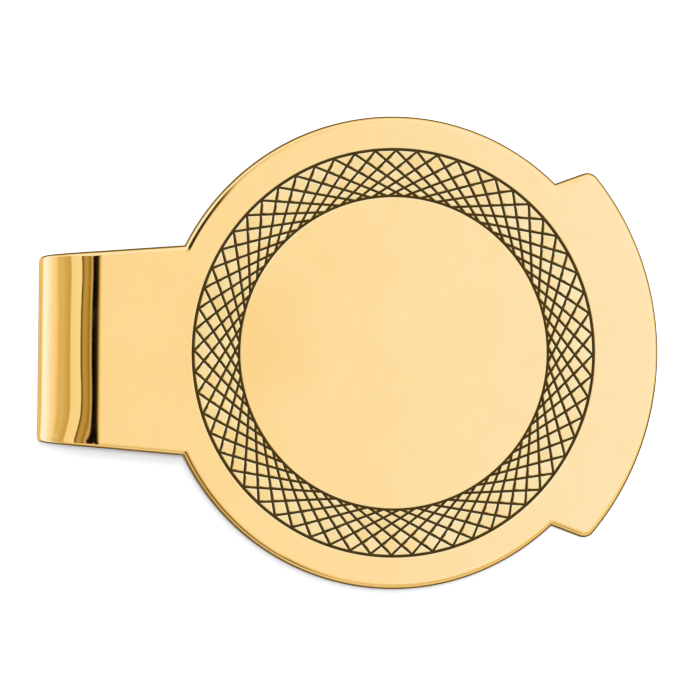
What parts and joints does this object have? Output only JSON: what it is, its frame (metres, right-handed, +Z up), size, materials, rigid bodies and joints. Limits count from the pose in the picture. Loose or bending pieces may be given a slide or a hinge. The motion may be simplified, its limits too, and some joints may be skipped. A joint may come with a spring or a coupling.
{
  "type": "money clip",
  "caption": "Round polished gold money clip: an engraved disc with a thumb tab and a neck that folds under into a sprung tongue.",
  "frame": {"origin": "on the table under the middle of the clip's bounding box", "axes": "+Z up with the clip lying face up on its bend and its thumb tab, +X from the bend to the thumb tab, +Y across the strip"},
  "size_m": [0.0526, 0.04, 0.0092],
  "materials": {
    "face_gold": "mirror-polished gold plate",
    "bend_gold": "mirror-polished gold plate",
    "tongue_gold": "polished gold plate with light rubbing",
    "engraving_black": "dark olive-brown antique fill, satin"
  },
  "bodies": {
    "front": {"face_plate": "face_gold", "engraving_fill": "engraving_black", "bend_front": "bend_gold"},
    "rear": {"bend_rear": "bend_gold", "spring_tongue": "tongue_gold"}
  },
  "joints": [
    {"name": "clip_flex", "type": "hinge", "parent": "front", "child": "rear", "pos_m": [-0.02426, 0, 0.00506], "axis": [0, 1, 0], "range_deg": [0, 7], "stiffness_Nm_per_rad": 4, "springref_deg": -2.86}
  ]
}
